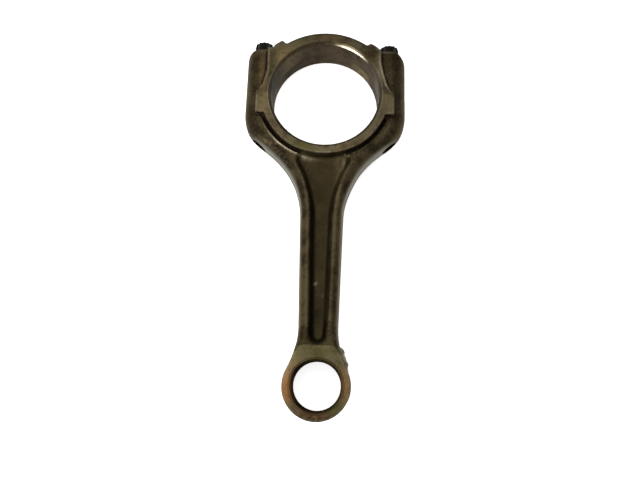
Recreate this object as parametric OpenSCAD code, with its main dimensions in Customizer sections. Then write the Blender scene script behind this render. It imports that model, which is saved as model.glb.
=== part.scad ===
// Forged I-beam connecting rod with a bolted bearing cap.
// The rod lies flat: both bores run along Z, the cap is at +Y and the pin end at -Y.
// The origin is the centre of the crank bore, at half its width.

/* [Rod] */
// Distance from the crank bore's centre to the pin bore's centre
center_distance = 147.5; // [138:0.5:180]
// Width of both machined ends along their bores
end_width = 22; // [19:0.5:27]
// Thickness of the forged cheeks and of the bolt bosses
body_thickness = 17; // [14:0.5:18.5]

/* [Crank end] */
// Crank bore, bare of its bearing shells
crank_bore_d = 56; // [46:0.5:68]
// Chamfer at both mouths of the crank bore
crank_chamfer = 1.5; // [0.5:0.1:2]
// Radial width of the thrust ring round the bore
thrust_ring_w = 5.4; // [4:0.1:7.5]
// Wall of the cap at the top of its crown, at half width
crown_wall = 9.5; // [7.5:0.1:13]
// Wall of the cap at the top of its crown, at either face
crown_face_wall = 6; // [4:0.1:7.5]
// How far the crown's centre lies below the bore's centre, which flattens the crown
crown_drop = 3; // [0:0.5:5]
// Height of the bolt seats above the joint face
seat_height = 25.5; // [21:0.1:31]
// Height of the horn beside each bolt seat
horn_height = 4.2; // [2:0.1:6]
// Width of the horn along X
horn_w = 5.8; // [4:0.1:8]
// Thinnest steel left between the crank bore and a bolt hole
bolt_wall = 2.2; // [1.2:0.1:4]
// Gap that the machined cap face keeps from a bolt hole's axis
face_gap = 3; // [1:0.1:5]
// Reach of the raised pads outside the bore's edge
pad_reach = 7.8; // [6.5:0.1:9]
// Height of the pads on the rod, below the joint face
pad_rod_h = 11.2; // [6:0.1:14]
// Height of the pads' upright side on the cap, above the joint face
pad_cap_h = 1; // [0.5:0.1:6]
// Height at which the slope above it has run in to the machined face
pad_slope_top = 12.7; // [8:0.1:16]
// Chamfer on the cap's outer corner, beside the bolt seat
corner_chamfer = 3.2; // [1:0.1:4]

/* [Shoulders and beam] */
// Height at which the flank starts to turn in, below the joint face
shoulder_start = 8.5; // [6:0.5:14]
// Radius of the outer shoulder
shoulder_r = 24; // [16:0.5:26]
// Radius of the hollow between shoulder and beam
flare_r = 42.5; // [30:0.5:44]
// Slope of the shoulder, measured from the rod's length
shoulder_angle = 52; // [46:1:56]
// Width of the beam under the shoulders
beam_w_top = 21.6; // [18:0.2:26]
// Width of the beam above the pin end
beam_w_low = 19.2; // [16:0.2:23]
// Thickness of the beam above the pin end
beam_thickness_low = 15.8; // [13:0.2:17]
// Width of each flange of the I
flange_w = 5.4; // [4:0.1:6.5]
// Radius of the hollow that the pocket's side follows towards its wide end
pocket_flare_r = 56; // [48:1:62]
// Thickness of the web between the two pockets
web_thickness = 5; // [3:0.5:8]
// Depth left in each pocket where it runs in under the thrust ring
pocket_shallow = 1.5; // [1:0.1:5]
// Length over which the web thins from there to its own thickness
web_taper = 26; // [15:1:40]
// Corner radius at the pocket's wide end
pocket_corner_r = 4; // [2:0.5:5]
// Angle round the hollow's centre at which the pocket is widest
pocket_wide_angle = 30; // [26:0.5:32]
// Gap from the ramp's top to the centre of the pocket's round end
pocket_stop = 6; // [5:0.5:12]

/* [Pin end] */
// Bore of the bush, which takes the piston pin
pin_bore_d = 23.5; // [18:0.5:28]
// Wall of the bush
bush_wall = 1.5; // [1:0.1:2.5]
// Steel of the eye round the bush
eye_wall = 3.1; // [2.5:0.1:6]
// Chamfer at both mouths of the bush
pin_chamfer = 0.6; // [0.3:0.1:0.9]
// Radius of the hollow between eye and beam
neck_r = 45; // [30:1:60]
// Length of the ramp up from the beam to the full width of the eye
ramp_length = 10; // [6:0.5:14]
// Distance of the ramp's top from the pin bore's centre
ramp_top = 18; // [17:0.5:22]

/* [Bolts] */
// Thread diameter of the two cap bolts
bolt_d = 7; // [6:0.5:8]
// Width of the bolt head across its points
head_d = 10.2; // [8.5:0.1:10.5]
// Height of the head above its flange
head_h = 4.7; // [3:0.1:6]
// Width of the flange under the head
flange_d = 11.2; // [10.6:0.1:13]
// Height of the flange under the head
flange_h = 1.3; // [0.8:0.1:2]
// How far the thread reaches into the rod
thread_reach = 21.5; // [16:0.5:24]
// Depth of the shank's waist below the thread's crest
waist_cut = 0.5; // [0.2:0.05:0.9]
// Reach of the ground locating band each side of the joint face
band_reach = 4; // [2:0.5:6]
// Radial gap round the locating band and the thread
bolt_fit = 0.05; // [0.02:0.01:0.1]

/* [Hidden] */
$fn = 96;

// Step of every outline arc, in degrees
arc_step = 6.5;
// Overrun of a cut past the face that it opens
over = 1;
// Height of the cone that breaks the corners of a bolt head
head_break = 0.8;

crank_r = crank_bore_d / 2;
ring_r = crank_r + thrust_ring_w;
crown_top = crank_r + crown_wall;
crown_face_top = crank_r + crown_face_wall;
boss_r = body_thickness / 2;
bolt_x = crank_r + bolt_wall + bolt_d / 2;
half_width = bolt_x + boss_r;
face_x = bolt_x - face_gap;
pad_x = crank_r + pad_reach;
bolt_hole_r = bolt_d / 2 + bolt_fit;
waist_r = bolt_d / 2 - waist_cut;

bush_r = pin_bore_d / 2 + bush_wall;
eye_r = bush_r + eye_wall;
pin_y = -center_distance;

// Straight stretch between the shoulder's round and the hollow below it
slope_length = (half_width - beam_w_top / 2
    - (shoulder_r + flare_r) * (1 - cos(shoulder_angle))) / sin(shoulder_angle);
// Height at which the hollow runs out into the beam
flare_y = -shoulder_start - (shoulder_r + flare_r) * sin(shoulder_angle)
    - slope_length * cos(shoulder_angle);
flare_x = beam_w_top / 2 + flare_r;

// Centre of the neck's hollow, which touches both the beam's side and the eye
neck_x = beam_w_low / 2 + neck_r;
neck_y = pin_y + sqrt(pow(eye_r + neck_r, 2) - pow(neck_x, 2));
neck_angle = atan2(neck_y - pin_y, neck_x);

// The horn stands on the cap's shoulder, clear of the bolt's flange
flange_clearance = 0.4;
horn_step = 1.3;
horn_foot_x = bolt_x - flange_d / 2 - flange_clearance;
horn_tip_x = horn_foot_x - horn_w + horn_step;

// Points of an arc from angle a to angle b
function arc(x, y, r, a, b) =
    let (n = max(2, ceil(abs(b - a) / arc_step)))
    [for (i = [0:n]) [x + r * cos(a + (b - a) * i / n), y + r * sin(a + (b - a) * i / n)]];

// The same points mirrored across the rod's length, in reverse order
function mirrored(points) =
    [for (i = [len(points) - 1:-1:0]) if (points[i][0] > 0.001) [-points[i][0], points[i][1]]];

// Right side of the rod, from the joint face round to the foot of the eye
side_points = concat(
    [[half_width, 0]],
    arc(half_width - shoulder_r, -shoulder_start, shoulder_r, 0, -shoulder_angle),
    arc(flare_x, flare_y, flare_r, 180 - shoulder_angle, 180),
    arc(neck_x, neck_y, neck_r, 180, 180 + neck_angle),
    arc(0, pin_y, eye_r, neck_angle - arc_step, -90)
);

module rod_outline() {
    polygon(concat(side_points, mirrored(side_points)));
}

// Half thickness along the rod: flat cheeks, thinning beam, ramp, full-width eye
module rod_side() {
    foot = pin_y - eye_r - over;
    thick = body_thickness / 2;
    thin = beam_thickness_low / 2;
    full = end_width / 2;
    half = [
        [over, thick],
        [flare_y, thick],
        [pin_y + ramp_top + ramp_length, thin],
        [pin_y + ramp_top, full],
        [foot, full]
    ];
    lower = [for (i = [len(half) - 1:-1:0]) [half[i][0], -half[i][1]]];
    polygon(concat(half, lower));
}

// Section across both bolt bosses: full width between them, half-round outside
module end_section() {
    full = end_width / 2;
    right = concat(
        [[face_x, -full], [face_x, -boss_r]],
        arc(bolt_x, 0, boss_r, -90, 90),
        [[face_x, boss_r], [face_x, full]]
    );
    polygon(concat(right, [for (i = [len(right) - 1:-1:0]) [-right[i][0], right[i][1]]]));
}

// The end section carried along the rod's length
module end_bar(low_y, high_y) {
    translate([0, high_y, 0])
        rotate([90, 0, 0])
            linear_extrude(high_y - low_y) end_section();
}

// One pocket of the I, seen from the front; its wide end runs in under the thrust ring
module pocket_outline() {
    center_x = beam_w_top / 2 - flange_w + pocket_flare_r;
    corner_reach = pocket_flare_r + pocket_corner_r;
    low_half = beam_w_low / 2 - flange_w;
    right = concat(
        arc(center_x - corner_reach * cos(pocket_wide_angle),
            flare_y + corner_reach * sin(pocket_wide_angle),
            pocket_corner_r, 100, -pocket_wide_angle),
        arc(center_x, flare_y, pocket_flare_r, 180 - pocket_wide_angle + arc_step, 180),
        arc(0, pin_y + ramp_top + pocket_stop, low_half, 0, -90)
    );
    polygon(concat(right, mirrored(right)));
}

// Floor of the front pocket along the rod: shallow at the thrust ring, then down to the web
module pocket_side() {
    low = web_thickness / 2;
    polygon([
        [over, end_width],
        [over, body_thickness / 2 - pocket_shallow],
        [-ring_r, body_thickness / 2 - pocket_shallow],
        [-ring_r - web_taper, low],
        [pin_y, low],
        [pin_y, end_width]
    ]);
}

// The cut that makes the front pocket
module pocket() {
    intersection() {
        linear_extrude(end_width) pocket_outline();
        rotate([90, 0, 90])
            linear_extrude(3 * half_width, center = true) pocket_side();
    }
}

// Hole through both ends of the crank bore, with its chamfers
module crank_bore_cut() {
    cylinder(r = crank_r, h = end_width + 2 * over, center = true);
    for (side = [0, 1])
        mirror([0, 0, side])
            translate([0, 0, end_width / 2 - crank_chamfer])
                cylinder(r1 = crank_r, r2 = crank_r + crank_chamfer + over,
                    h = crank_chamfer + over);
}

// Block that keeps the half of a solid on one side of the joint face
module half_space(side) {
    reach = 2 * half_width;
    translate([-reach, side > 0 ? 0 : -reach, -end_width])
        cube([2 * reach, reach, 2 * end_width]);
}

// Raised pads beside the bore, each carried through the full width from its outline
module pads() {
    for (side = [0, 1])
        mirror([side, 0, 0])
            linear_extrude(end_width, center = true) children();
}

// Pad on the rod: a plain block below the joint face
module rod_pad_outline() {
    translate([crank_r, -pad_rod_h]) square([pad_x - crank_r, pad_rod_h]);
}

// Pad on the cap: a low block that slopes in to the edge of the machined face
module cap_pad_outline() {
    polygon([[crank_r, 0], [pad_x, 0], [pad_x, pad_cap_h], [face_x, pad_slope_top],
        [crank_r, pad_slope_top]]);
}

module bolt_hole(low_y, high_y) {
    for (side = [-1, 1])
        translate([side * bolt_x, high_y, 0])
            rotate([90, 0, 0])
                cylinder(r = bolt_hole_r, h = high_y - low_y);
}

module rod_body() {
    color([0.30, 0.27, 0.21])
        difference() {
            union() {
                difference() {
                    intersection() {
                        linear_extrude(end_width, center = true) rod_outline();
                        rotate([90, 0, 90])
                            linear_extrude(3 * half_width, center = true) rod_side();
                        end_bar(pin_y - eye_r - over, over);
                    }
                    for (side = [0, 1])
                        mirror([0, 0, side]) pocket();
                }
                intersection() {
                    cylinder(r = ring_r, h = end_width, center = true);
                    half_space(-1);
                }
                pads() rod_pad_outline();
            }
            crank_bore_cut();
            bolt_hole(-3 * half_width, over);
            translate([0, pin_y, 0])
                cylinder(r = bush_r, h = end_width + 2 * over, center = true);
        }
}

// Crown of the cap: a round turned about its own centre, thickest at half width
module cap_crown() {
    full = end_width / 2;
    face_r = crown_face_top + crown_drop;
    intersection() {
        translate([0, -crown_drop, 0])
            rotate_extrude()
                polygon([[0, -full], [face_r, -full], [crown_top + crown_drop, 0], [face_r, full],
                    [0, full]]);
        half_space(1);
    }
}

// Room above the bolt seats, cut from the crown from the foot of each horn outwards
module seat_cuts() {
    for (side = [0, 1])
        mirror([side, 0, 0])
            translate([horn_foot_x, seat_height, -end_width])
                cube([half_width, crown_top, 2 * end_width]);
}

// Shoulder of the cap seen from the front: joint face, flank, bolt seat and horn
module cap_shoulder_outline() {
    polygon([
        [crank_r * 0.7, 0],
        [half_width, 0],
        [half_width, seat_height - corner_chamfer],
        [half_width - corner_chamfer, seat_height],
        [horn_foot_x, seat_height],
        [horn_foot_x, seat_height + horn_step],
        [horn_tip_x, seat_height + horn_height],
        [horn_tip_x - horn_step, seat_height + horn_height - horn_step],
        [crank_r * 0.7, seat_height]
    ]);
}

module bearing_cap() {
    color([0.34, 0.31, 0.25])
        difference() {
            union() {
                intersection() {
                    difference() {
                        cap_crown();
                        seat_cuts();
                    }
                    end_bar(-over, crown_top + over);
                }
                for (side = [0, 1])
                    mirror([side, 0, 0])
                        intersection() {
                            linear_extrude(end_width, center = true) cap_shoulder_outline();
                            end_bar(-over, seat_height + horn_height + over);
                        }
                pads() cap_pad_outline();
            }
            crank_bore_cut();
            bolt_hole(-over, seat_height + over);
        }
}

// Envelope of the bolt's head: straight side, then a cone that breaks the top corners
module head_envelope(top) {
    corner = head_d / 2 - 0.2;
    rotate_extrude()
        polygon([
            [0, 0],
            [head_d / 2 + over, 0],
            [head_d / 2 + over, top - head_break],
            [corner, top - head_break],
            [corner - head_break, top],
            [0, top]
        ]);
}

// One bolt along Y, its flange on the seat: twelve-point head, waist, locating band, thread
module cap_bolt(side) {
    head_top = flange_h + head_h;
    joint = -seat_height;
    tip = -seat_height - thread_reach;
    translate([side * bolt_x, seat_height, 0])
        rotate([-90, 0, 0])
            union() {
                cylinder(d = flange_d, h = flange_h);
                intersection() {
                    for (turn = [0, 30])
                        rotate([0, 0, turn])
                            cylinder(d = head_d, h = head_top, $fn = 6);
                    head_envelope(head_top);
                }
                rotate_extrude()
                    polygon([
                        [0, flange_h / 2],
                        [waist_r, flange_h / 2],
                        [waist_r, joint + band_reach + waist_cut],
                        [bolt_d / 2, joint + band_reach],
                        [bolt_d / 2, tip + 1],
                        [bolt_d / 2 - 1, tip],
                        [0, tip]
                    ]);
            }
}

module left_cap_bolt() {
    color([0.13, 0.15, 0.13]) cap_bolt(-1);
}

module right_cap_bolt() {
    color([0.13, 0.15, 0.13]) cap_bolt(1);
}

module pin_bush() {
    inner = pin_bore_d / 2;
    full = end_width / 2;
    color([0.50, 0.38, 0.24])
        translate([0, pin_y, 0])
            rotate_extrude()
                polygon([
                    [inner, -full + pin_chamfer],
                    [inner + pin_chamfer, -full],
                    [bush_r, -full],
                    [bush_r, full],
                    [inner + pin_chamfer, full],
                    [inner, full - pin_chamfer]
                ]);
}

rod_body();
bearing_cap();
left_cap_bolt();
right_cap_bolt();
pin_bush();
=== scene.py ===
"""Forged connecting rod with its bearing cap, two cap bolts and pin bush, laid flat on a pale table.

The sections follow the order in which the rod is put together: forged rod, pin bush, bearing cap,
cap bolts. The table, the lights and the camera come last. Sizes are in millimetres until a mesh is made.
"""

import math

import bpy
import numpy as np
from mathutils import Matrix, Vector


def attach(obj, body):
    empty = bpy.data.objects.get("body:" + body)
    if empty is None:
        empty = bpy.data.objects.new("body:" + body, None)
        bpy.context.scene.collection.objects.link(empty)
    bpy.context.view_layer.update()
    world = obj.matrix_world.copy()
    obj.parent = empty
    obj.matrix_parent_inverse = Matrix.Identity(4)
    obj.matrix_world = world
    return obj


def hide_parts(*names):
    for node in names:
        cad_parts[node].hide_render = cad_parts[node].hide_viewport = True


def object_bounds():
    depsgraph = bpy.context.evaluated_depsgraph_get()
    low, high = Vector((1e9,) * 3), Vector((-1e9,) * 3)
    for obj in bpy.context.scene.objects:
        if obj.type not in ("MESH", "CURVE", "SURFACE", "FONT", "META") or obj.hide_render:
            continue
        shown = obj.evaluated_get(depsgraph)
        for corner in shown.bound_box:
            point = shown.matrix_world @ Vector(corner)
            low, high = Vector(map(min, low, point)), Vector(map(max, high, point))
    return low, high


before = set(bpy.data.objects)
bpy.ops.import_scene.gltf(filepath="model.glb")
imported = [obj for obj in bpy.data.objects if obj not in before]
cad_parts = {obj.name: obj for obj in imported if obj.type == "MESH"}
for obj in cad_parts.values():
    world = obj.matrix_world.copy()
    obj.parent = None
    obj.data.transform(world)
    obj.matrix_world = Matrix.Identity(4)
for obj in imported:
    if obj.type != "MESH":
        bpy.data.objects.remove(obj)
cad_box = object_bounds()


# ---------------------------------------------------------------- 1. rod body
# The rod is one drop forging of medium-carbon steel: an I-beam with rounded, drafted flanges.
# Both ends are then milled to width and bored, and it wears a brown skin of burnt oil.

MM = 0.001
# Half the width over the milled ends, and over the forged cheeks
END_HALF, CHEEK_HALF = 11.0, 8.5
CRANK_R, CRANK_CHAMFER = 28.0, 1.5
# The thrust ring's radius at its face, and how much its wall spreads per millimetre down
RING_R, RING_DRAFT = 33.0, 0.25
LIP_R, LIP_HEIGHT, LIP_WIDTH = 35.3, 0.5, 0.6
GROOVE_R, GROOVE_DEPTH, GROOVE_WIDTH = 34.2, 0.4, 0.45
# The milled pads beside the ring: outer edge, inner edge, and reach below the joint
PAD_HALF, PAD_INNER, PAD_DROP = 35.8, 20.0, 11.2
FLASH_BAND, FLASH_LEDGE = 0.22, 1.6
BOLT_X, BOLT_HOLE_R = 33.7, 3.55
HALF_WIDTH = 42.2
PIN_Y, BUSH_R, EYE_R = -147.5, 13.25, 16.35
# A face this near to a cut surface counts as cut
CUT_REACH = 0.12
# In degrees: the fold that shows as a sharp edge, and where round the crank bore a glint is painted on its
# mouth
SHARP_FROM, GLINT_AT = 38, 60


def arc(x, y, r, a, b, n=60):
    """Points of a circular arc: the centre plus the radius turned from angle a to angle b, in degrees."""
    turn = np.radians(np.linspace(a, b, n))
    return np.c_[x + r * np.cos(turn), y + r * np.sin(turn)]


def soft_max(a, b, blend):
    """The larger of two distances; where they differ by less than blend, a parabola rounds the corner."""
    h = np.maximum(blend - np.abs(a - b), 0) / blend
    return np.maximum(a, b) + h * h * blend / 4


def soft_min(a, b, blend):
    """The smaller of two distances, rounded in the same way, which leaves a fillet."""
    return -soft_max(-a, -b, blend)


def round_corner(a, b, r):
    """Distance from the corner where faces a and b meet, rounded to a true arc of radius r."""
    return np.hypot(np.maximum(a + r, 0), np.maximum(b + r, 0)) + np.minimum(np.maximum(a, b) + r, 0) - r


def smooth_step(v, low, high):
    """0 below low, 1 above high, and an S-curve between."""
    t = np.clip((v - low) / (high - low), 0, 1)
    return t * t * (3 - 2 * t)


def at(y, table, column=1):
    """Reads a table of columns against its first column, with straight lines between the entries."""
    return np.interp(y, table[0], table[column])


def width_curve(points):
    """An outline as a table: for each y its half width and the cosine of its slope."""
    points = points[np.argsort(points[:, 1])]
    y = np.linspace(points[0, 1], points[-1, 1], 3000)
    w = np.interp(y, points[:, 1], points[:, 0])
    return y, w, 1 / np.hypot(1, np.gradient(w, y))


def eased(knots, reach):
    """A table through straight runs whose corners are rounded by averaging over reach millimetres."""
    step = 0.25
    y = np.arange(knots[0][0], knots[-1][0], step)
    v = at(y, np.array(knots).T)
    n = int(reach / step) | 1
    padded = np.pad(v, n // 2, mode="edge")
    return y, np.convolve(padded, np.ones(n) / n, mode="valid")


SHOULDER_START, SHOULDER_R, FLARE_R, SHOULDER_ANGLE = 8.5, 24.0, 42.5, 52.0
BEAM_TOP, BEAM_LOW = 10.8, 9.6
NECK_R = 45.0
turn_in = math.radians(SHOULDER_ANGLE)
slope_run = (HALF_WIDTH - BEAM_TOP - (SHOULDER_R + FLARE_R) * (1 - math.cos(turn_in))) / math.sin(turn_in)
FLARE_X = BEAM_TOP + FLARE_R
FLARE_Y = -SHOULDER_START - (SHOULDER_R + FLARE_R) * math.sin(turn_in) - slope_run * math.cos(turn_in)
NECK_X = BEAM_LOW + NECK_R
NECK_Y = PIN_Y + math.sqrt((EYE_R + NECK_R) ** 2 - NECK_X**2)
NECK_ANGLE = math.degrees(math.atan2(NECK_Y - PIN_Y, NECK_X))
NECK_FOOT = PIN_Y + EYE_R * math.sin(math.radians(NECK_ANGLE))
rod_width = width_curve(
    np.vstack(
        [
            [[HALF_WIDTH, 10.0]],
            arc(HALF_WIDTH - SHOULDER_R, -SHOULDER_START, SHOULDER_R, 0, -SHOULDER_ANGLE),
            arc(FLARE_X, FLARE_Y, FLARE_R, 180 - SHOULDER_ANGLE, 180),
            arc(NECK_X, NECK_Y, NECK_R, 180, 180 + NECK_ANGLE),
            arc(0, PIN_Y, EYE_R, NECK_ANGLE, 5),
        ]
    )
)

FLANGE, POCKET_FLARE_R = 5.4, 56.0
POCKET_DRAFT, FLOOR_FILLET = 0.14, 2.0
CORNER_R, WIDE_ANGLE = 4.0, 30.0
POCKET_END_Y, POCKET_END_R = -123.5, BEAM_LOW - FLANGE
POCKET_X = BEAM_TOP - FLANGE + POCKET_FLARE_R
corner_x = POCKET_X - (POCKET_FLARE_R + CORNER_R) * math.cos(math.radians(WIDE_ANGLE))
corner_y = FLARE_Y + (POCKET_FLARE_R + CORNER_R) * math.sin(math.radians(WIDE_ANGLE))
pocket_width = width_curve(
    np.vstack(
        [
            arc(corner_x, corner_y, CORNER_R, 0, -WIDE_ANGLE),
            arc(POCKET_X, FLARE_Y, POCKET_FLARE_R, 180 - WIDE_ANGLE, 180),
            [[POCKET_END_R, POCKET_END_Y]],
        ]
    )
)

# Along the rod: half thickness, edge radius, draft of the sides, and half thickness of the web
thickness = eased([(-170, 24.0), (-119.5, 7.9), (-62.9, CHEEK_HALF), (8, CHEEK_HALF)], 5.0)
edge_radius = eased([(-170, 2.4), (-132, 2.4), (-122, 3.2), (-58, 3.2), (-14, 8.4), (-9, 8.5), (8, 8.5)], 4.0)
draft = eased([(-170, 0.02), (-130, 0.02), (-118, 0.087), (-45, 0.087), (-12, 0.0), (8, 0.0)], 4.0)
web = eased([(-170, 2.5), (-60, 2.5), (-35, 7.0), (8, 7.0)], 8.0)


def rod_side(x, y):
    """How far a point lies outside the outline: its gap to the half width times the cosine of the slope."""
    flank = (np.abs(x) - at(y, rod_width)) * at(y, rod_width, 2)
    return np.where(y < NECK_FOOT, np.hypot(x, y - PIN_Y) - EYE_R, flank)


def pocket(x, y, z):
    """The cut between the flanges: drafted walls round the pocket's outline, a rising floor, and a fillet
    where they meet."""
    wall = (np.abs(x) - at(y, pocket_width)) * at(y, pocket_width, 2)
    top = round_corner(np.abs(x) - corner_x - CORNER_R, y - corner_y - CORNER_R, CORNER_R)
    end = np.hypot(x, y - POCKET_END_Y) - POCKET_END_R
    wall = np.where(y > corner_y, top, np.where(y < POCKET_END_Y, end, wall))
    depth = np.maximum(at(y, thickness) - np.abs(z), 0)
    return round_corner(wall + POCKET_DRAFT * depth, at(y, web) - np.abs(z), FLOOR_FILLET)


def crank_bore(x, y, z):
    """Bore with a 45 degree chamfer at each mouth: negative inside the hole."""
    r = np.hypot(x, y) - CRANK_R
    return np.minimum(r, (r - np.abs(z) + END_HALF - CRANK_CHAMFER) / math.sqrt(2))


def bolt_holes(x, z):
    """Distance outside the wall of the nearer bolt hole."""
    return np.hypot(np.abs(x) - BOLT_X, z) - BOLT_HOLE_R


def bulge(v, middle, width):
    """A bell of height 1 over its middle, which falls to about a third one width away."""
    return np.exp(-(((v - middle) / width) ** 2))


def ring_wall(r, height):
    """Distance outside the thrust ring's drafted wall, which widens away from its face."""
    return r - RING_R - RING_DRAFT * (END_HALF - height)


def rod_solid(x, y, z):
    """The rod as one field, negative in steel: drafted sides and cheeks rounded into each other, less the
    pockets, plus thrust ring and pads, cut by the bores, the milled ends and the joint face."""
    r = np.hypot(x, y)
    height = np.abs(z)
    # A groove and a low lip round the thrust ring, left by the die
    lip = LIP_HEIGHT * bulge(r, LIP_R, LIP_WIDTH) - GROOVE_DEPTH * bulge(r, GROOVE_R, GROOVE_WIDTH)
    half = at(y, thickness) + smooth_step(-y, 11.5, 14.0) * lip
    # The trimmed flash: a low band at the parting plane, and a ragged ledge left on the right of the neck
    along = smooth_step(-y, 12, 20) * (1 - smooth_step(-y, 152, 158))
    band = FLASH_BAND * (1 - smooth_step(height, 0.9, 1.5)) * along
    along = smooth_step(-y, 128.3, 130.0) * (1 - smooth_step(-y, 136.0, 141.5))
    ragged = FLASH_LEDGE + 0.15 * np.sin(2.1 * y) + 0.08 * np.sin(5.3 * y + 1)
    ledge = np.where(x > 0, ragged * along * (1 - smooth_step(height, 1.6, 2.3)), 0)
    # The shoulders are a little slimmer than true arcs, and the right flare is fuller than the left
    fuller = 0.55 * bulge(y, -49, 9) * (x > 0) - 0.45 * bulge(y, -29, 5)
    side = rod_side(x, y) - band - ledge - fuller + height * at(y, draft)
    solid = round_corner(side, height - half, at(y, edge_radius))
    solid = soft_max(solid, -pocket(x, y, z), 1.3)
    ring = round_corner(ring_wall(r, height), height - END_HALF, 0.3)
    solid = soft_min(solid, ring, 0.5)
    pads = round_corner(np.abs(x) - PAD_HALF, -PAD_DROP - y, 0.8)
    pads = np.maximum(round_corner(pads, height - END_HALF, 0.3), PAD_INNER - np.abs(x))
    solid = soft_min(solid, pads, 0.5)
    solid = soft_max(solid, height - END_HALF, 0.25)
    solid = np.maximum(solid, -crank_bore(x, y, z))
    solid = np.maximum(solid, -bolt_holes(x, z))
    solid = np.maximum(solid, BUSH_R - np.hypot(x, y - PIN_Y))
    return soft_max(solid, y, 0.1)


def slope_of(field, points, reach=0.02):
    """Unit slope of a field by central differences: the outward normal of its surface."""
    parts = []
    for k in range(3):
        move = np.zeros(3)
        move[k] = reach
        parts.append(field(*(points + move).T) - field(*(points - move).T))
    slope = np.stack(parts, 1)
    return slope / (np.linalg.norm(slope, axis=1, keepdims=True) + 1e-12)


def skin(field, low, high, pitch):
    """The surface where a field is zero, by dual contouring. The field is sampled on a cubic grid. On every
    grid edge where its sign changes, the crossing point and the field's slope there give a tangent plane.
    Each cell's vertex is the point nearest to all of its planes, so it lands on a sharp edge or corner where
    there is one. Each crossed grid edge gives one four-sided face between its four cells."""
    axes = [np.arange(a - 1.5 * pitch, b + 1.5 * pitch, pitch) for a, b in zip(low, high)]
    shape = [len(a) for a in axes]
    value = field(axes[0][:, None, None], axes[1][None, :, None], axes[2][None, None, :])
    value = np.broadcast_to(value, shape)
    strides = np.array([shape[1] * shape[2], shape[2], 1])
    points, owners = [], []
    for axis in range(3):
        ahead = [slice(None)] * 3
        behind = [slice(None)] * 3
        ahead[axis], behind[axis] = slice(1, None), slice(None, -1)
        v0, v1 = value[tuple(behind)], value[tuple(ahead)]
        index = np.nonzero((v0 < 0) != (v1 < 0))
        v0, v1 = v0[index], v1[index]
        corner = np.c_[tuple(axes[k][index[k]] for k in range(3))]
        step = pitch * v0 / (v0 - v1)
        place = corner.copy()
        place[:, axis] += step
        # One secant step brings the crossing onto the true surface
        there = field(*place.T)
        inside = (there < 0) == (v0 < 0)
        a, va = np.where(inside, step, 0), np.where(inside, there, v0)
        b, vb = np.where(inside, pitch, step), np.where(inside, v1, there)
        place[:, axis] = corner[:, axis] + a + (b - a) * np.clip(va / (va - vb + 1e-12), 0, 1)
        flat = sum(index[k] * strides[k] for k in range(3))
        u, w = strides[(axis + 1) % 3], strides[(axis + 2) % 3]
        cells = np.c_[flat - u - w, flat - w, flat, flat - u]
        outward = v0 < 0
        cells[~outward] = cells[~outward][:, ::-1]
        points.append(place)
        owners.append(cells)
    points, owners = np.vstack(points), np.vstack(owners)
    normals = slope_of(field, points)
    cell_ids, face_cells = np.unique(owners, return_inverse=True)
    face_cells = face_cells.reshape(owners.shape)
    count = np.bincount(face_cells.ravel())

    def spread(per_edge):
        """Sums a value of each crossed edge over the four cells round it."""
        return np.bincount(face_cells.ravel(), np.repeat(per_edge, 4), len(cell_ids))

    mean = np.stack([spread(points[:, k]) / count for k in range(3)], 1)
    along = np.einsum("ij,ij->i", normals, points)
    ata = np.stack([[spread(normals[:, i] * normals[:, j]) for j in range(3)] for i in range(3)])
    ata = np.moveaxis(ata, 2, 0)
    atb = np.stack([spread(normals[:, k] * along) for k in range(3)], 1)
    rest = atb - np.einsum("nij,nj->ni", ata, mean)
    pull_to_mean = 0.04 * np.eye(3)
    vertices = mean + np.linalg.solve(ata + pull_to_mean, rest[:, :, None])[:, :, 0]
    cell = np.stack(np.unravel_index(cell_ids, shape), 1)
    floor = np.stack([axes[k][cell[:, k]] for k in range(3)], 1)
    vertices = np.clip(vertices, floor, floor + pitch)
    return vertices, face_cells


def store(mesh, name, values, domain="POINT"):
    """Writes one number per vertex or face as a named attribute that the materials read."""
    layer = mesh.attributes.new(name, "FLOAT", domain)
    layer.data.foreach_set("value", np.asarray(values, np.float32))


def piece(name, vertices, faces, body, replaced=None):
    """A finished piece in metres at the origin, body and replaced CAD node."""
    mesh = bpy.data.meshes.new(name)
    vertices = np.clip(vertices, np.array(cad_box[0]) / MM, np.array(cad_box[1]) / MM)
    faces = np.asarray(faces, np.int32)
    mesh.vertices.add(len(vertices))
    mesh.vertices.foreach_set("co", (vertices * MM).astype(np.float32).ravel())
    mesh.loops.add(faces.size)
    mesh.loops.foreach_set("vertex_index", faces.ravel())
    mesh.polygons.add(len(faces))
    mesh.polygons.foreach_set("loop_start", np.arange(0, faces.size, faces.shape[1], dtype=np.int32))
    mesh.update(calc_edges=True)
    mesh.validate()
    mesh.polygons.foreach_set("use_smooth", np.ones(len(mesh.polygons), bool))
    mesh.set_sharp_from_angle(angle=math.radians(SHARP_FROM))
    made = bpy.data.objects.new(name, mesh)
    bpy.context.scene.collection.objects.link(made)
    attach(made, body)
    if replaced:
        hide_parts(replaced)
    return made


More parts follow.
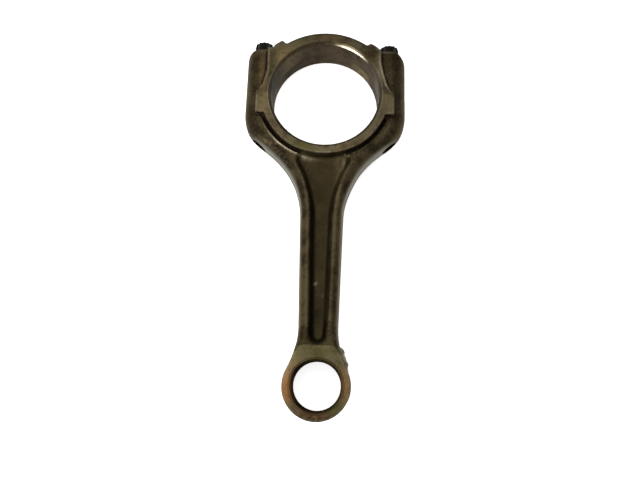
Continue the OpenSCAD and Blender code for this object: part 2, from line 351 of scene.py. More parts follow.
def relief(mesh, field, vertices, reach=2.0):
    """Stores how convex and how hollow the surface is: the field a fixed reach below and above each vertex
    against the value that it would have under a flat face. The clamped joint at y = 0, the seam round the
    bush and the thin wall beside the bolt holes have no worn edge. The flank mark is a painted reflection:
    a light grey on the faces that turn sideways, strongest on the shoulders and weaker on the shank."""
    x, y, z = vertices.T
    normal = slope_of(field, vertices)
    below = field(*(vertices - normal * reach).T)
    above = field(*(vertices + normal * reach).T)
    seams = np.minimum(np.abs(y), np.abs(np.hypot(x, y - PIN_Y) - BUSH_R))
    unworn = smooth_step(seams, 0.5, 2.5) * smooth_step(bolt_holes(x, z), 2.6, 3.4)
    store(mesh, "edge", np.clip(1 + below / reach, 0, 1) * unworn)
    # painted reflection: faces that turn sideways are marked to take a light grey, standing in for the pale
    # table and the lamp mirrored in them
    sideways = smooth_step(-np.abs(normal[:, 2]), -0.75, -0.2) * smooth_step(rod_side(x, y), -2.5, -1.2)
    store(mesh, "flank", sideways * smooth_step(-y, 20, 28) * (0.25 + 0.75 * smooth_step(y, -75, -50)))
    store(mesh, "hollow", np.clip(1 - above / reach, 0, 1))


def stain(points, spots):
    """Strength of a stain at each point: the strongest of several soft-edged ellipses. A spot is its centre,
    its two half lengths, its turn in degrees and its strength. The back wears the same spots mirrored."""
    x, y = points[:, 0] * np.where(points[:, 2] < -2, -1, 1), points[:, 1]
    total = np.zeros(len(points))
    for cx, cy, long, short, turn, strength in spots:
        c, s = math.cos(math.radians(turn)), math.sin(math.radians(turn))
        u, v = (x - cx) * c + (y - cy) * s, (y - cy) * c - (x - cx) * s
        total = np.maximum(total, strength * np.exp(-((u / long) ** 2) - (v / short) ** 2))
    return total


def bore_masks(mesh, points, middles):
    """Marks the faces on the walls of the bores, and the light metal that is painted on: a glint on the arris
    where the crank bore meets its chamfer, centred where it catches the front-left lamp, a lighter tint on
    the chamfer's sides near the joint, and the trimmed ledge of flash on the neck, clean steel painted
    lighter still because it lies in the neck's shadow."""
    x, y, z = middles.T
    wall = np.minimum(np.abs(np.hypot(x, y) - CRANK_R), np.abs(np.hypot(x, y - PIN_Y) - BUSH_R))
    store(mesh, "bored", (wall < CUT_REACH) & (np.abs(z) < END_HALF - 0.2), "FACE")
    x, y, z = points.T
    from_arris = np.hypot(np.hypot(x, y) - CRANK_R - 0.35, np.abs(z) - END_HALF + CRANK_CHAMFER - 0.3)
    turn = np.degrees(np.arctan2(y, x))
    # painted glint on the crank bore's arris, strongest about the angle where the front-left lamp glints in
    # it
    bare = smooth_step(-np.abs(turn - GLINT_AT), -24, -10) * (1 - smooth_step(from_arris, 0.2, 0.65))
    on_chamfer = (np.abs(crank_bore(x, y, z)) < 0.05) & (np.abs(z) > END_HALF - CRANK_CHAMFER - 0.05)
    bare = np.maximum(bare, 0.2 * on_chamfer * smooth_step(-np.abs(y), -20, -8))
    # The trimmed ledge of flash is clean steel, painted light to make up for the neck's shadow, but for two
    # specks of burnt oil
    flash = smooth_step(rod_side(x, y), 0.1, 0.5) * smooth_step(-y, 120, 127)
    flash *= 1 - stain(points, [(13, -131, 1.2, 1.0, 0, 0.9), (14.8, -137.5, 2.2, 0.9, -60, 0.95)])
    store(mesh, "glint_and_raw_steel", np.maximum(bare, 0.95 * flash))


def both_machined(x, y, z):
    """How near a point lies to a cut that runs through rod and cap: ends, crank bore, joint, bolt holes."""
    near = np.minimum(np.abs(np.abs(z) - END_HALF), np.abs(crank_bore(x, y, z)))
    return np.minimum(near, np.minimum(np.abs(y), np.abs(bolt_holes(x, z))))


def rod_machined(x, y, z):
    """How near a point lies to a surface that a tool has cut on the rod: those shared with the cap, the
    eye's bore and the thrust ring's wall."""
    height = np.abs(z)
    near = np.minimum(both_machined(x, y, z), np.abs(np.hypot(x, y - PIN_Y) - BUSH_R))
    wall = np.where(height > CHEEK_HALF + 0.3, np.abs(ring_wall(np.hypot(x, y), height)), 1)
    return np.minimum(near, wall)


def mark_forging(made, solid, machined, points, faces):
    """Stores on a forging's mesh the masks that follow from its shape: wear, hollows, cut faces, bores."""
    middles = points[faces].mean(1)
    relief(made.data, solid, points)
    store(made.data, "machined", machined(*middles.T) < CUT_REACH, "FACE")
    bore_masks(made.data, points, middles)


def hue(red, green, blue):
    """A paint chip's three values from 0 to 255, as the linear colour that a shader takes."""
    chip = np.array([red, green, blue]) / 255
    return (*(((chip + 0.055) / 1.055) ** 2.4).tolist(), 1.0)


def feed(tree, socket, value):
    """Links an input to another node's output, or sets its own value."""
    if isinstance(value, bpy.types.NodeSocket):
        tree.links.new(value, socket)
    else:
        socket.default_value = value


def add(tree, kind, inputs=None, **settings):
    """Adds a node, sets its properties, and links or sets each named input."""
    made = tree.nodes.new(kind)
    for name, value in settings.items():
        setattr(made, name, value)
    for name, value in (inputs or {}).items():
        feed(tree, made.inputs[name], value)
    return made


def reckon(tree, operation, *values):
    """One arithmetic node over two or three values or sockets."""
    made = tree.nodes.new("ShaderNodeMath")
    made.operation = operation
    for k, value in enumerate(values):
        feed(tree, made.inputs[k], value)
    return made.outputs[0]


def times(tree, first, second):
    """The product of two values or sockets."""
    return reckon(tree, "MULTIPLY", first, second)


def ramp(tree, value, low, high, start=0.0, end=1.0):
    """Maps a value from low..high on to start..end along an S-curve."""
    return add(
        tree,
        "ShaderNodeMapRange",
        {"Value": value, "From Min": low, "From Max": high, "To Min": start, "To Max": end},
        interpolation_type="SMOOTHSTEP",
    ).outputs["Result"]


def mix(tree, share, first, second):
    """Blends two colours by a share from 0 to 1."""
    made = tree.nodes.new("ShaderNodeMix")
    made.data_type = "RGBA"
    for k, value in ((0, share), (6, first), (7, second)):
        feed(tree, made.inputs[k], value)
    return made.outputs[2]


def blend(tree, share, first, second):
    """Blends two numbers by a share from 0 to 1."""
    return add(tree, "ShaderNodeMix", {0: share, 2: first, 3: second}).outputs[0]


def place(tree, stretch=(1, 1, 1), shift=(0, 0, 0)):
    """The piece's own coordinates in millimetres, stretched and shifted."""
    spot = add(tree, "ShaderNodeTexCoord").outputs["Object"]
    return add(
        tree,
        "ShaderNodeMapping",
        {"Vector": spot, "Scale": [1000 * k for k in stretch], "Location": shift},
    ).outputs["Vector"]


def noise(tree, where, scale, detail):
    """Soft noise from 0 to 1 at the given coordinates."""
    inputs = {"Vector": where, "Scale": scale, "Detail": detail}
    return add(tree, "ShaderNodeTexNoise", inputs).outputs["Fac"]


def attribute(tree, name):
    """A number stored on the mesh."""
    return add(tree, "ShaderNodeAttribute", attribute_name=name).outputs["Fac"]


def new_material(name):
    """An empty material with its node tree and its Principled shader."""
    material = bpy.data.materials.new(name)
    material.use_nodes = True
    return material, material.node_tree, material.node_tree.nodes["Principled BSDF"]


def roughen(tree, shader, height, strength, distance):
    """Gives the shader a bumped normal from a height."""
    bump = add(tree, "ShaderNodeBump", {"Height": height, "Strength": strength, "Distance": distance})
    tree.links.new(bump.outputs["Normal"], shader.inputs["Normal"])


def effect(name, inputs, outputs):
    """An empty shader node group with named inputs (with defaults) and outputs, and its two end nodes."""
    tree = bpy.data.node_groups.new(name, "ShaderNodeTree")
    for label, default in inputs.items():
        kind = "NodeSocketColor" if isinstance(default, tuple) else "NodeSocketFloat"
        tree.interface.new_socket(label, in_out="INPUT", socket_type=kind).default_value = default
    for label, kind in outputs.items():
        tree.interface.new_socket(label, in_out="OUTPUT", socket_type=kind)
    return tree, tree.nodes.new("NodeGroupInput").outputs, tree.nodes.new("NodeGroupOutput").inputs


def use(tree, group, **inputs):
    """Places a group in a material with its own values."""
    made = tree.nodes.new("ShaderNodeGroup")
    made.node_tree = group
    for name, value in inputs.items():
        feed(tree, made.inputs[name], value)
    return made.outputs


# Burnt oil in blotches: two sizes of noise decide where the film is thick
burnt_oil, given, gives = effect(
    "burnt_oil",
    {"Clean": hue(120, 110, 85), "Oily": hue(50, 42, 28), "Blotch": 9.0, "Share": 0.5},
    {"Color": "NodeSocketColor", "Film": "NodeSocketFloat"},
)
scale = reckon(burnt_oil, "DIVIDE", 1.0, given["Blotch"])
broad = noise(burnt_oil, place(burnt_oil), scale, 5.0)
fine = noise(burnt_oil, place(burnt_oil, shift=(31, 7, 5)), times(burnt_oil, scale, 6.0), 3.0)
both = reckon(burnt_oil, "MULTIPLY_ADD", fine, 0.3, times(burnt_oil, broad, 0.7))
lower = reckon(burnt_oil, "SUBTRACT", 0.78, times(burnt_oil, given["Share"], 0.56))
film = ramp(burnt_oil, reckon(burnt_oil, "SUBTRACT", both, lower), -0.09, 0.09)
burnt_oil.links.new(film, gives["Film"])
burnt_oil.links.new(mix(burnt_oil, film, given["Clean"], given["Oily"]), gives["Color"])

# Skin of a forging: scale pits over a soft pebble, as a height
forge_skin, given, gives = effect("forge_skin", {"Pebble": 1.1, "Pits": 0.5}, {"Height": "NodeSocketFloat"})
scale = reckon(forge_skin, "DIVIDE", 1.0, given["Pebble"])
pebble = noise(forge_skin, place(forge_skin), scale, 4.0)
pit = add(forge_skin, "ShaderNodeTexVoronoi", {"Vector": place(forge_skin), "Scale": 0.45})
dent = times(forge_skin, ramp(forge_skin, pit.outputs["Distance"], 0.05, 0.32), given["Pits"])
forge_skin.links.new(reckon(forge_skin, "ADD", pebble, dent), gives["Height"])

# Marks of the mill and the boring bar: fine lines across the faces, rings round the bores
tool_marks, given, gives = effect(
    "tool_marks", {"Lines": 3.0}, {"Height": "NodeSocketFloat", "Streak": "NodeSocketFloat"}
)
across = noise(tool_marks, place(tool_marks, (0.05, 1.0, 0.0)), given["Lines"], 4.0)
round_bores = noise(tool_marks, place(tool_marks, (0.03, 0.03, 1.0)), given["Lines"], 3.0)
lines = reckon(tool_marks, "ADD", across, round_bores)
tool_marks.links.new(lines, gives["Height"])
tool_marks.links.new(ramp(tool_marks, lines, 0.85, 1.15), gives["Streak"])

# Wear on convex edges, and painted shade with grime in hollows, both broken up by noise
wear_and_hollow_shade, given, gives = effect(
    "wear_and_hollow_shade", {"Amount": 1.0, "Dirt": 1.0}, {"Worn": "NodeSocketFloat", "Dirty": "NodeSocketFloat"}
)
rub = noise(wear_and_hollow_shade, place(wear_and_hollow_shade), 0.35, 5.0)
convex = times(wear_and_hollow_shade, times(wear_and_hollow_shade, attribute(wear_and_hollow_shade, "edge"), given["Amount"]), rub)
wear_and_hollow_shade.links.new(ramp(wear_and_hollow_shade, convex, 0.12, 0.42), gives["Worn"])
concave = times(wear_and_hollow_shade, attribute(wear_and_hollow_shade, "hollow"), given["Dirt"])
concave = reckon(wear_and_hollow_shade, "MULTIPLY_ADD", rub, 0.25, concave)
wear_and_hollow_shade.links.new(ramp(wear_and_hollow_shade, concave, 0.2, 0.75), gives["Dirty"])


# Stains, painted highlights and painted shade in the order in which they lie over each other, and the colour
# of every layer of the steel
STAINS = ("tan", "olive", "copper", "shade_and_soot", "bright", "lip")
steel_chips = {
    "skin": hue(72, 63, 44),
    "skin_oily": hue(48, 40, 26),
    "face": hue(76, 68, 50),
    "face_oily": hue(56, 47, 31),
    "wall": hue(62, 51, 36),
    "wall_oily": hue(42, 33, 20),
    "web": hue(43, 37, 22),
    "worn": hue(108, 100, 82),
    # painted reflection on the sideways faces
    "flank": hue(118, 117, 110),
    # painted glint on the arris, and the flash ledge painted light
    "bare": hue(176, 167, 148),
    # painted shade with grime in hollows
    "shade_and_grime": hue(16, 10, 4),
    "tan": hue(96, 83, 57),
    "olive": hue(64, 64, 31),
    "copper": hue(108, 78, 47),
    "shade_and_soot": hue(20, 15, 9),
    "bright": hue(118, 106, 88),
    "lip": hue(132, 122, 98),
}


def oil_film(tree, layer, blotch, share):
    """Burnt oil over one layer of the steel, between that layer's clean and oily colours."""
    clean, oily = steel_chips[layer], steel_chips[layer + "_oily"]
    return use(tree, burnt_oil, Clean=clean, Oily=oily, Blotch=blotch, Share=share)


def oiled_steel(name):
    """Steel of a forging that is part milled. The colours lie over each other in this order: forged skin,
    web, milled face, bored wall, stains with painted highlights and shade, painted shade and grime in
    hollows, worn edges, a painted reflection on the sides, then a painted glint and the flash ledge painted
    light.
    Cut faces shine more."""
    material, tree, shader = new_material(name)
    milled, bored, bare = (attribute(tree, label) for label in ("machined", "bored", "glint_and_raw_steel"))
    skin_oil = oil_film(tree, "skin", 9.0, 0.5)
    face_oil = oil_film(tree, "face", 6.0, 0.45)
    wall_oil = oil_film(tree, "wall", 7.0, 0.45)
    color = mix(tree, attribute(tree, "web"), skin_oil["Color"], steel_chips["web"])
    color = mix(tree, milled, color, face_oil["Color"])
    color = mix(tree, bored, color, wall_oil["Color"])
    patchy = ramp(tree, noise(tree, place(tree, shift=(3, 9, 1)), 0.5, 4.0), 0.3, 0.62, 0.35, 1.0)
    for label in STAINS:
        color = mix(tree, times(tree, attribute(tree, label), patchy), color, steel_chips[label])
    wear = use(tree, wear_and_hollow_shade, Amount=1.0, Dirt=1.0)
    # painted shade and grime darken the hollows
    color = mix(tree, times(tree, wear["Dirty"], 0.85), color, steel_chips["shade_and_grime"])
    color = mix(tree, times(tree, wear["Worn"], 0.55), color, steel_chips["worn"])
    # painted reflection: light grey on the sideways faces
    color = mix(tree, times(tree, attribute(tree, "flank"), 0.75), color, steel_chips["flank"])
    # painted glint on the crank bore's arris, and the flash ledge painted light for its shadow
    color = mix(tree, bare, color, steel_chips["bare"])
    tree.links.new(color, shader.inputs["Base Color"])
    marks = use(tree, tool_marks, Lines=3.0)
    rough = reckon(tree, "MULTIPLY_ADD", skin_oil["Film"], -0.1, 0.5)
    rough = blend(tree, milled, rough, reckon(tree, "MULTIPLY_ADD", marks["Streak"], 0.08, 0.36))
    rough = blend(tree, bare, blend(tree, bored, rough, 0.62), 0.26)
    tree.links.new(rough, shader.inputs["Roughness"])
    metal = reckon(tree, "MULTIPLY_ADD", milled, 0.15, 0.75)
    tree.links.new(reckon(tree, "MULTIPLY_ADD", bored, -0.6, metal), shader.inputs["Metallic"])
    shader.inputs["Specular IOR Level"].default_value = 0.1
    shader.inputs["Specular Tint"].default_value = (0.62, 0.6, 0.54, 1.0)
    grain = use(tree, forge_skin, Pebble=1.1, Pits=0.5)
    height = blend(tree, milled, grain["Height"], times(tree, marks["Height"], 0.12))
    roughen(tree, shader, height, 0.35, 0.0004)
    return material


def web_share(points):
    """1 on the floor of either pocket, 0 on its walls and outside, with a soft edge."""
    x, y, z = points.T
    far_above = np.full_like(z, 30.0)
    inside = smooth_step(-pocket(x, y, far_above), 0.0, 0.8)
    return inside * (1 - smooth_step(np.abs(z) - at(y, web), 0.6, 1.8))


def stain_all(mesh, points, spots, crest=0.0):
    """Stores each named mark (stains, painted highlights, painted shade); a name with no spots is stored as
    zero. The lip mark keeps to the crest.
    """
    for label in STAINS:
        share = stain(points, spots.get(label, ()))
        store(mesh, label, share * crest if label == "lip" else share)


ROD_PITCH = 0.55
rod_low, rod_high = (-HALF_WIDTH, PIN_Y - EYE_R, -END_HALF), (HALF_WIDTH, 0, END_HALF)
rod_points, rod_faces = skin(rod_solid, rod_low, rod_high, ROD_PITCH)
rod = piece("forged_rod", rod_points, rod_faces, "rod", "rod_body")
mark_forging(rod, rod_solid, rod_machined, rod_points, rod_faces)
store(rod.data, "web", web_share(rod_points))
# Each spot: centre x and y, two half lengths, turn in degrees, strength
rod_stains = {
    "tan": [
        (-32, -5, 4, 7, 0, 0.8),
        (33, -5, 3, 7, 0, 0.6),
        (-31, -18, 4, 2, -40, 0.35),
        (-12.5, -137.5, 3.4, 6, -25, 1.3),
        (9, -62, 2, 45, 2, 0.4),
    ],
    "copper": [(-14.8, -147.5, 3.6, 9, 8, 1.7), (14.4, -146.5, 3.0, 9, 0, 0.75), (-1, -161, 9, 2.6, 0, 0.7)],
    "olive": [(0, -132, 14, 5, 0, 0.55), (10, -157.5, 5, 3.4, 35, 0.75), (-10, -29.5, 6, 2.5, -22, 0.9)],
    "shade_and_soot": [
        (-1, -163.5, 14, 5, 0, 0.95),
        (-10, -158.5, 3.5, 2, -45, 0.6),
        (-39, -3, 4, 14, 0, 0.3),
        (-2.0, -113, 3, 8, 0, 0.55),
        (38, -8, 4, 14, 0, 0.45),
        (33, -24, 8, 5, 40, 0.4),
        (13, -47, 4, 9, -20, 0.15),
        (31, -7, 3.4, 8, 0, 0.2),
        (-34, -21, 11, 6, -45, 0.75),
        (-26, -33, 15, 7, -45, 1.0),
        (0, -131, 14, 4, 0, 0.2),
        (-15, -48, 4, 10, 20, 0.4),
        (11.5, -158.5, 5, 3, 45, 0.25),
    ],
    "bright": [
        (-2.3, -98.4, 0.9, 0.7, 20, 0.9),
        (1.6, -104.5, 0.5, 0.8, 0, 0.3),
        # painted highlights: the next two spots light the top of the pocket's right wall and its upper left
        # corner, and the one after lightens the flash ledge in the neck's shadow
        (10.5, -37.5, 0.7, 3.4, -2, 0.55),
        (-8.5, -35.3, 2.6, 0.8, -12, 0.45),
        (15.6, -134.5, 1.6, 5, 14, 1.0),
        (-15.2, -141.0, 1.8, 4.0, -20, 0.7),
    ],
    # painted highlight on the left of the die's lip, where it faces the lamp
    "lip": [(-24.5, -25, 8, 4, -45, 1.4), (-15, -32, 9, 3, -25, 1.3)],
}
# Painted highlight: the crest of the die's lip is painted light on the left, where it faces the front-left
# lamp
die_lip = bulge(np.hypot(rod_points[:, 0], rod_points[:, 1]), LIP_R, LIP_WIDTH)
stain_all(rod.data, rod_points, rod_stains, die_lip)
rod.data.materials.append(oiled_steel("oiled_rod_steel"))


# ---------------------------------------------------------------- 2. pin bush
# A thin turned bronze tube, pressed into the eye, then bored and faced level with it. Years of oil have
# stained its ends the same as the eye round it.

PIN_R, PIN_CHAMFER = 11.75, 0.6


def bush_surface():
    """A closed section of bore wall, chamfers, ends and outside, turned about the pin's axis."""
    wall = END_HALF - PIN_CHAMFER
    end = [(PIN_R + PIN_CHAMFER / 2, wall + PIN_CHAMFER / 2), (PIN_R + PIN_CHAMFER, END_HALF)]
    end += [(PIN_R + 0.75, END_HALF), (13.0, END_HALF), (BUSH_R - 0.06, END_HALF), (BUSH_R, END_HALF - 0.08)]
    section = [(PIN_R, z) for z in np.linspace(-wall, wall, 30)] + end
    section += [(BUSH_R, z) for z in np.linspace(wall, -wall, 12)] + [(r, -z) for r, z in reversed(end)]
    r, z = np.array(section).T
    turn = np.linspace(0, 2 * math.pi, 192, endpoint=False)
    r, z = r[:, None], np.repeat(z[:, None], len(turn), 1)
    points = np.stack([r * np.cos(turn), PIN_Y + r * np.sin(turn), z], -1)
    i, j = np.meshgrid(np.arange(len(r)), np.arange(len(turn)), indexing="ij")
    ahead, beside = (i + 1) % len(r), (j + 1) % len(turn)
    faces = np.stack([i, j, i, beside, ahead, beside, ahead, j], -1).reshape(-1, 4, 2)
    return points.reshape(-1, 3), faces[:, ::-1, 0] * len(turn) + faces[:, ::-1, 1]


bush_points, bush_faces = bush_surface()
bush = piece("turned_bush", bush_points, bush_faces, "rod", "pin_bush")
bush_middles = bush_points[bush_faces].mean(1)
store(bush.data, "bored", np.abs(bush_middles[:, 2]) < END_HALF - 0.1, "FACE")
stain_all(bush.data, bush_points, rod_stains)


def oiled_bronze(name):
    """Bronze under burnt oil: brown faces with the eye's own stains, and a streaked bore wall painted near
    black, partly burnt oil and partly painted shade inside the hole.
    """
    material, tree, shader = new_material(name)
    bored = attribute(tree, "bored")
    face_oil = use(tree, burnt_oil, Clean=hue(74, 62, 44), Oily=hue(54, 43, 28), Blotch=6.0, Share=0.45)
    # painted shade with burnt oil: the bore wall is near black, as the inside of the hole is in shade
    wall_oil = use(tree, burnt_oil, Clean=hue(24, 17, 9), Oily=hue(12, 8, 4), Blotch=4.0, Share=0.55)
    color = mix(tree, bored, face_oil["Color"], wall_oil["Color"])
    for label in ("copper", "olive", "shade_and_soot"):
        color = mix(tree, times(tree, attribute(tree, label), 0.8), color, steel_chips[label])
    marks = use(tree, tool_marks, Lines=4.0)
    color = mix(tree, times(tree, marks["Streak"], 0.25), color, hue(30, 22, 14))
    tree.links.new(color, shader.inputs["Base Color"])
    tree.links.new(reckon(tree, "MULTIPLY_ADD", wall_oil["Film"], -0.08, 0.58), shader.inputs["Roughness"])
    tree.links.new(reckon(tree, "MULTIPLY_ADD", bored, -0.6, 0.7), shader.inputs["Metallic"])
    shader.inputs["Specular IOR Level"].default_value = 0.0
    shader.inputs["Specular Tint"].default_value = (0.3, 0.24, 0.18, 1.0)
    roughen(tree, shader, marks["Height"], 0.1, 0.0002)
    return material


bush.data.materials.append(oiled_bronze("oiled_bush_bronze"))


# ---------------------------------------------------------------- 3. bearing cap
# A second forging, bolted to the rod and bored with it. Its crown is thickest at half width,
# its faces are milled level with the rod's ring, and half-round bosses carry the bolts.

SEAT_Y = 25.5
# The crown's arc is struck from a centre below the bore's, and its top falls away to the faces
CROWN_TOP, CROWN_DROP, CROWN_FALL = 37.5, 3.0, 3.5
# The horns beside the bolt seats: inner, middle and outer edge, and the heights of the left and right tips
HORN_INNER, HORN_ROOT, HORN_FOOT = 18.0, 23.2, 27.7
HORN_TIPS = (29.7, 28.9)
# How far the left and right shoulders are cut back
SHOULDER_CUTS = (3.0, 4.3)


def face_edge(x, y):
    """How far out the milled face reaches: widest in the pad at the joint, then in to the bolt boss. The
    right side is cut further in than the left."""
    left = at(y, ([0, 1.0, 5.0, 12.7], [PAD_HALF, 35.3, 32.6, 30.7]))
    right = at(y, ([0, 1.0, 5.0, 12.0, 18.0], [PAD_HALF, 34.4, 31.9, 30.0, 28.8]))
    return np.where(x > 0, right, left)


def cap_solid(x, y, z):
    """The cap as one field: crown, shoulders and horns in plan, kept within its section: milled faces
    between the bolts, half-round bosses outside them. Bore, bolt holes, seats and joint face are cut. The
    left horn is the taller one and the right shoulder is cut back more."""
    side = np.abs(x)
    height = np.abs(z)
    crown = np.hypot(x, y + CROWN_DROP) - CROWN_TOP - CROWN_DROP + CROWN_FALL * (height / END_HALF) ** 1.5
    slant = (side - HALF_WIDTH + y - SEAT_Y + np.where(x < 0, *SHOULDER_CUTS)) / math.sqrt(2)
    shoulder = soft_max(np.maximum(side - HALF_WIDTH, y - SEAT_Y), slant, 1.6)
    # The horn's top falls by 3.0 for each 4.6 outwards
    out, over = side - HORN_ROOT, y - np.where(x < 0, *HORN_TIPS)
    horn = soft_max(side - HORN_FOOT, (3.0 * out + 4.6 * over) / 5.49, 1.2)
    horn = soft_max(horn, (over - out) / math.sqrt(2), 1.2)
    horn = np.maximum(horn, HORN_INNER - side)
    plan = soft_min(crown, soft_min(shoulder, horn, 0.3), 1.2)
    face = round_corner((side - face_edge(x, y)) * 0.95, height - END_HALF, 0.4)
    boss = np.hypot(np.maximum(side - BOLT_X, 0), z) - CHEEK_HALF
    solid = soft_max(plan, soft_min(face, boss, 0.8), 0.5)
    solid = np.maximum(solid, -crank_bore(x, y, z))
    solid = np.maximum(solid, -bolt_holes(x, z))
    return soft_max(solid, -y, 0.1)


def cap_machined(x, y, z):
    """How near a point lies to a surface that a tool has cut on the cap: those shared with the rod, and the
    bolt seats outside the horns."""
    return np.minimum(both_machined(x, y, z), np.where(np.abs(x) > HORN_FOOT - 0.3, np.abs(y - SEAT_Y), 1))


CAP_PITCH = 0.47
cap_low, cap_high = (-HALF_WIDTH, 0, -END_HALF), (HALF_WIDTH, CROWN_TOP, END_HALF)
cap_points, cap_faces = skin(cap_solid, cap_low, cap_high, CAP_PITCH)
cap = piece("forged_cap", cap_points, cap_faces, "cap", "bearing_cap")
mark_forging(cap, cap_solid, cap_machined, cap_points, cap_faces)
store(cap.data, "web", np.zeros(len(cap_points)))
cap_stains = {
    "tan": [(-21.5, 21, 7, 5, 40, 1.2), (-31.5, 6, 2.5, 8, 0, 0.5)],
    "olive": [(-14, 31, 8, 2.5, 20, 0.6), (14, 33, 10, 2, -20, 0.5), (-27.5, 8, 1.5, 13, 0, 0.7)],
    # painted light: a lighter streak at the right mouth of the crank bore, whose wall faces the front-left
    # lamp
    "bright": [(27.5, 10, 1.2, 8, 0, 0.35)],
    "shade_and_soot": [
        (24, 25, 6, 6, 0, 0.6),
        (39, 12, 5, 13, 0, 0.5),
        (0, 37.2, 26, 1.3, 0, 0.6),
        # painted shade: the next two spots darken the left wall and rim of the crank bore, which face away
        # from the front-left lamp
        (-26, 6, 3.5, 9, 0, 0.4),
        (-28, 6, 2.5, 15, 0, 0.8),
        (32, 1, 3, 5, 0, 0.6),
        (0, 35, 26, 4, 0, 0.2),
        (8, 31, 18, 3, 0, 0.35),
    ],
    "copper": [(-34, 11, 1.6, 9, 0, 0.35), (3, 31.5, 7, 1.2, 0, 0.3)],
    "lip": [(30, 12, 6, 9, 0, 2.4)],
}
# The right edge of the milled face is rubbed light
cap_x, cap_y, cap_z = cap_points.T
face_rim = bulge(cap_x, face_edge(cap_x, cap_y) - 0.3, 0.7) * smooth_step(np.abs(cap_z), 9.5, 10.5)
stain_all(cap.data, cap_points, cap_stains, face_rim)
cap.data.materials.append(oiled_steel("oiled_cap_steel"))


# ---------------------------------------------------------------- 4. cap bolts
# Two cold-headed alloy-steel bolts, blackened and oiled: twelve-point head on a thin flange, waisted
# shank, a ground band that locates the cap, and a rolled thread that screws into the rod.

FLANGE_R, FLANGE_H = 5.6, 1.3
HEAD_R, HEAD_FLAT = 5.1, 4.42
WAIST_R, BOLT_R = 3.0, 3.5
BAND_REACH, THREAD_END, THREAD_PITCH = 4.0, -21.5, 1.0
THREAD_DEPTH, THREAD_RUN_IN = 0.55, 1.5
BOLT_TOPS = {"left": 32.2, "right": 31.5}


def head_outline(turn):
    """Radius of a twelve-point head at each turn angle: two hexagons, one turned by 30 degrees, whichever
    reaches further. Each hexagon's radius is its flat divided by the cosine of the angle from that flat."""
    reach = [HEAD_FLAT / np.cos((turn + start) % (math.pi / 3) - math.pi / 6) for start in (0, math.pi / 6)]
    return np.minimum(np.maximum(*reach), HEAD_R)


def bolt_surface(top):
    """Rows of the bolt from its dome to its tip. Each row is a height and a radius that is round, or that
    follows the twelve-point outline, or that winds in and out once per pitch and turn as the thread does."""
    turn = np.linspace(0, 2 * math.pi, 96, endpoint=False)
    seat = SEAT_Y + FLANGE_H
    head = [(top, 0.03), (top, 0.5), (top, 0.8), (top - 0.15, 0.9), (top - 0.45, 0.965), (top - 0.9, 1.0)]
    head += [(h, 1.0) for h in np.linspace(top - 1.2, seat + 0.25, 8)] + [(seat + 0.05, 1.02)]
    rows = [(h, share * head_outline(turn)) for h, share in head]
    plain = [(seat, FLANGE_R - 0.3), (seat - 0.25, FLANGE_R - 0.04), (seat - 0.6, FLANGE_R)]
    plain += [(SEAT_Y + 0.15, FLANGE_R), (SEAT_Y, FLANGE_R - 0.15), (SEAT_Y, BOLT_R + 0.4)]
    plain += [(SEAT_Y - 0.4, WAIST_R), (BAND_REACH + 0.6, WAIST_R)]
    plain += [(BAND_REACH, BOLT_R), (-BAND_REACH, BOLT_R)]
    rows += [(h, np.full_like(turn, r)) for h, r in plain]
    for h in np.arange(-BAND_REACH - 0.1, THREAD_END + 0.2, -THREAD_PITCH / 10):
        flight = np.abs((h / THREAD_PITCH + turn / (2 * math.pi)) % 1 - 0.5) * 2
        depth = THREAD_DEPTH * np.clip(1.25 * flight - 0.12, 0, 1)
        fade = min(1.0, (-BAND_REACH - h) / THREAD_RUN_IN)
        rows.append((h, np.minimum(BOLT_R - fade * depth, BOLT_R - 1.0 + (h - THREAD_END))))
    rows += [(THREAD_END, np.full_like(turn, 2.4)), (THREAD_END, np.full_like(turn, 0.5))]
    height = np.repeat([h for h, _ in rows], len(turn))
    radius = np.concatenate([r for _, r in rows])
    around = np.tile(turn, len(rows))
    points = np.c_[radius * np.cos(around), height, radius * np.sin(around)]
    return points, closed_rows(len(rows), len(turn))


def closed_rows(rows, columns):
    """Faces of a tube of stacked rings, and a ladder of faces across each end that closes it."""
    r, c = np.meshgrid(np.arange(rows - 1), np.arange(columns), indexing="ij")
    here, beside = r * columns + c, r * columns + (c + 1) % columns
    wall = np.stack([here, beside, beside + columns, here + columns], -1).reshape(-1, 4)
    j = np.arange(columns // 2 - 1)
    rung = np.stack([j, columns - 1 - j, columns - 2 - j, j + 1], -1)
    return np.vstack([wall, rung, rung[:, ::-1] + (rows - 1) * columns])


def black_oxide(name):
    """Blackened steel: a thin oxide film, brown where oil has burnt on and grey where edges rub through, with
    painted shade and grime in the crease under the head.
    """
    material, tree, shader = new_material(name)
    oil = use(tree, burnt_oil, Clean=hue(31, 31, 26), Oily=hue(21, 19, 13), Blotch=3.5, Share=0.5)
    rub = use(tree, wear_and_hollow_shade, Amount=0.9, Dirt=0.6)
    color = mix(tree, times(tree, rub["Worn"], 0.5), oil["Color"], hue(48, 47, 41))
    # painted shade with grime in the crease under the head
    color = mix(tree, times(tree, rub["Dirty"], 0.8), color, hue(14, 11, 7))
    tree.links.new(color, shader.inputs["Base Color"])
    tree.links.new(reckon(tree, "MULTIPLY_ADD", oil["Film"], -0.12, 0.46), shader.inputs["Roughness"])
    shader.inputs["Metallic"].default_value = 0.6
    shader.inputs["Specular IOR Level"].default_value = 0.3
    shader.inputs["Specular Tint"].default_value = (0.4, 0.4, 0.35, 1.0)
    grain = use(tree, forge_skin, Pebble=0.5, Pits=0.15)
    roughen(tree, shader, grain["Height"], 0.2, 0.0002)
    return material


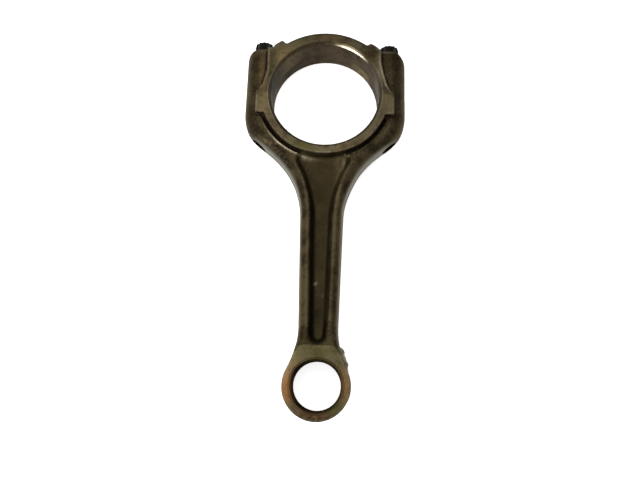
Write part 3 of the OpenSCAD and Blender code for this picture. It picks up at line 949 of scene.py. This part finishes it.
oxide = black_oxide("oiled_black_oxide")
for hand, side in (("left", -1), ("right", 1)):
    bolt_points, bolt_faces = bolt_surface(BOLT_TOPS[hand])
    height, from_axis = bolt_points[:, 1], np.hypot(bolt_points[:, 0], bolt_points[:, 2])
    bolt_points[:, 0] += side * BOLT_X
    name = hand + "_cap_bolt"
    bolt = piece("visual_" + name, bolt_points, bolt_faces, hand + "_bolt", name)
    # The corners of the head rub through most, the thread's crests less
    head_rub, thread_rub = smooth_step(from_axis, 4.75, 5.1), 0.5 * (from_axis > 3.4)
    store(bolt.data, "edge", np.where(height > SEAT_Y + 0.3, head_rub, thread_rub))
    # the crease where the head meets its flange is marked hollow: painted shade and grime
    store(bolt.data, "hollow", smooth_step(-np.abs(height - SEAT_Y - FLANGE_H), -0.8, 0.0))
    bolt.data.materials.append(oxide)


# ---------------------------------------------------------------- 5. table, lights and camera
# A pale table that glows a little, as a light table does, and soft studio light from the front left and
# from overhead.

TABLE_TOP = (-END_HALF - 0.05) * MM
TABLE_CORNERS = [(-1.5, -1.6), (1.5, -1.6), (1.5, 1.5), (-1.5, 1.5)]
table_mesh = bpy.data.meshes.new("table")
table_mesh.from_pydata([(x, y, TABLE_TOP) for x, y in TABLE_CORNERS], [], [(0, 1, 2, 3)])
table = bpy.data.objects.new("table", table_mesh)
bpy.context.scene.collection.objects.link(table)
paper, _, shader = new_material("table_white")
shader.inputs["Base Color"].default_value = (0.9, 0.9, 0.9, 1)
shader.inputs["Roughness"].default_value = 0.7
shader.inputs["Emission Color"].default_value = (1, 1, 1, 1)
shader.inputs["Emission Strength"].default_value = 0.78
table_mesh.materials.append(paper)

world = bpy.data.worlds.new("studio")
bpy.context.scene.world = world
world.use_nodes = True
sky = world.node_tree.nodes["Background"]
sky.inputs["Color"].default_value = (1.0, 1.0, 1.0, 1)
sky.inputs["Strength"].default_value = 0.35


def area_light(name, where, aim, size, power):
    """A square soft light, turned to face the aim."""
    data = bpy.data.lights.new(name, "AREA")
    data.size = size
    data.energy = power
    lamp = bpy.data.objects.new(name, data)
    lamp.location = where
    lamp.rotation_euler = (Vector(aim) - Vector(where)).to_track_quat("-Z", "Y").to_euler()
    bpy.context.scene.collection.objects.link(lamp)


area_light("front_left", (-0.55, -0.6, 0.35), (0, -0.03, 0), 0.45, 8.5)
area_light("overhead", (-0.1, 0.1, 0.9), (0, -0.06, 0), 0.7, 4.5)

# The camera looks down on the rod from above the pin end, a little to the right
camera_data = bpy.data.cameras.new("camera")
camera_data.lens = 35.153
camera_data.sensor_width = 36.0
camera_data.clip_start = 0.01
camera = bpy.data.objects.new("camera", camera_data)
right = Vector((0.99937, 0.03049, -0.01824)).normalized()
back = Vector((0.02477, -0.22982, 0.97292)).normalized()
up = back.cross(right).normalized()
right = up.cross(back).normalized()
turned = Matrix((right, up, back)).transposed().to_4x4()
camera.matrix_world = Matrix.Translation(Vector((7.33, -148.17, 307.1)) * MM) @ turned
bpy.context.scene.collection.objects.link(camera)
bpy.context.scene.camera = camera
bpy.context.scene.view_settings.view_transform = "Standard"
